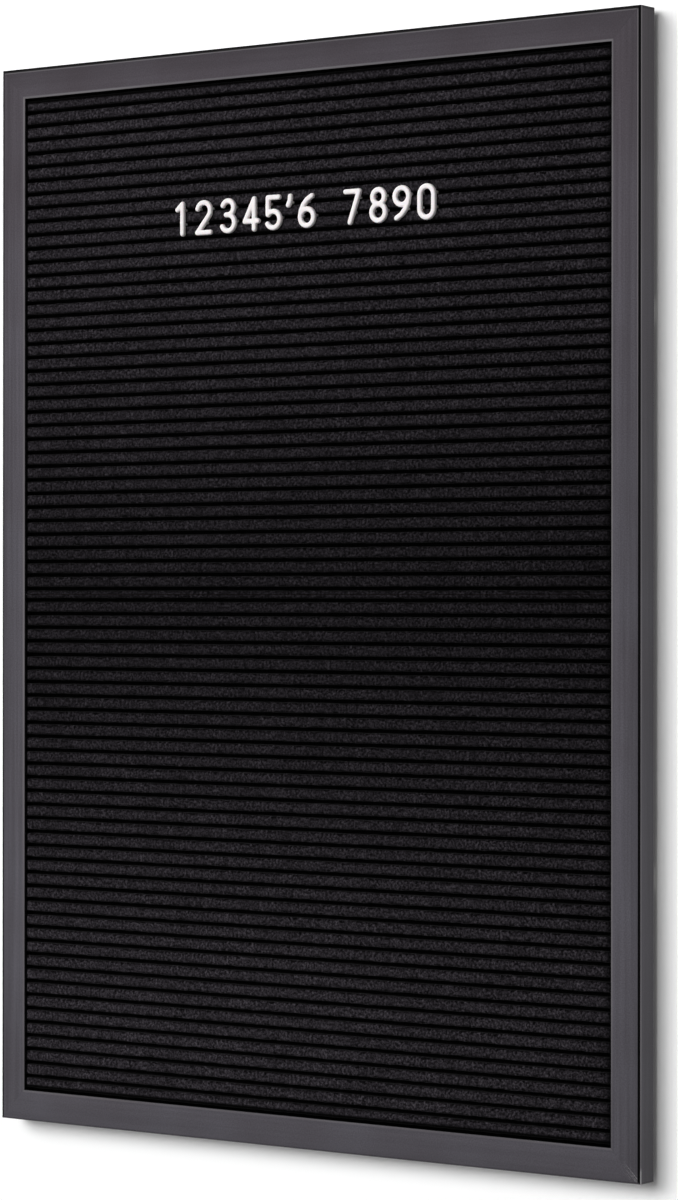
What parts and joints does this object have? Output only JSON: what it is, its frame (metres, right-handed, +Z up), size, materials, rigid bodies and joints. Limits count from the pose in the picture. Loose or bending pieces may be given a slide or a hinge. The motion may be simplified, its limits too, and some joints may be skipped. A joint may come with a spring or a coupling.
{
  "type": "letter board",
  "caption": "Upright wall letter board: a slim metal frame round black felt panels with level grooves, holding push-in plastic characters.",
  "frame": {"origin": "centre of the whole board's box, from the figures' fronts to the bumpers' backs", "axes": "+Z up, +X to the right as seen from the front, +Y back towards the wall"},
  "size_m": [0.4448, 0.0186, 0.6188],
  "materials": {
    "frame": "satin graphite anodised",
    "corner_key": "raw cast",
    "felt": "matt flocked felt",
    "backing": "smooth brown hardboard",
    "clip": "zinc plated",
    "hanger": "zinc plated",
    "screw": "zinc plated",
    "bumper": "matt",
    "figure": "satin white moulded"
  },
  "bodies": {
    "root": {"frame_top": "frame", "frame_right": "frame", "frame_bottom": "frame", "frame_left": "frame", "corner_key_top_left": "corner_key", "corner_key_top_right": "corner_key", "corner_key_bottom_left": "corner_key", "corner_key_bottom_right": "corner_key", "felt_panel_upper": "felt", "felt_panel_lower": "felt", "backing_board": "backing", "clip_top_1": "clip", "clip_top_2": "clip", "clip_right_1": "clip", "clip_right_2": "clip", "clip_bottom_1": "clip", "clip_bottom_2": "clip", "clip_left_1": "clip", "clip_left_2": "clip", "sawtooth_hanger": "hanger", "corner_screw_top_left_1": "screw", "corner_screw_top_left_2": "screw", "corner_screw_top_right_1": "screw", "corner_screw_top_right_2": "screw", "corner_screw_bottom_left_1": "screw", "corner_screw_bottom_left_2": "screw", "corner_screw_bottom_right_1": "screw", "corner_screw_bottom_right_2": "screw", "clip_top_1_screw": "screw", "clip_top_2_screw": "screw", "clip_right_1_screw": "screw", "clip_right_2_screw": "screw", "clip_bottom_1_screw": "screw", "clip_bottom_2_screw": "screw", "clip_left_1_screw": "screw", "clip_left_2_screw": "screw", "hanger_screw_left": "screw", "hanger_screw_right": "screw", "bumper_left": "bumper", "bumper_right": "bumper", "figure_0": "figure", "figure_1": "figure", "figure_2": "figure", "figure_3": "figure", "figure_4": "figure", "figure_5": "figure", "figure_6": "figure", "figure_7": "figure", "figure_8": "figure", "figure_9": "figure", "apostrophe": "figure"}
  },
  "joints": []
}
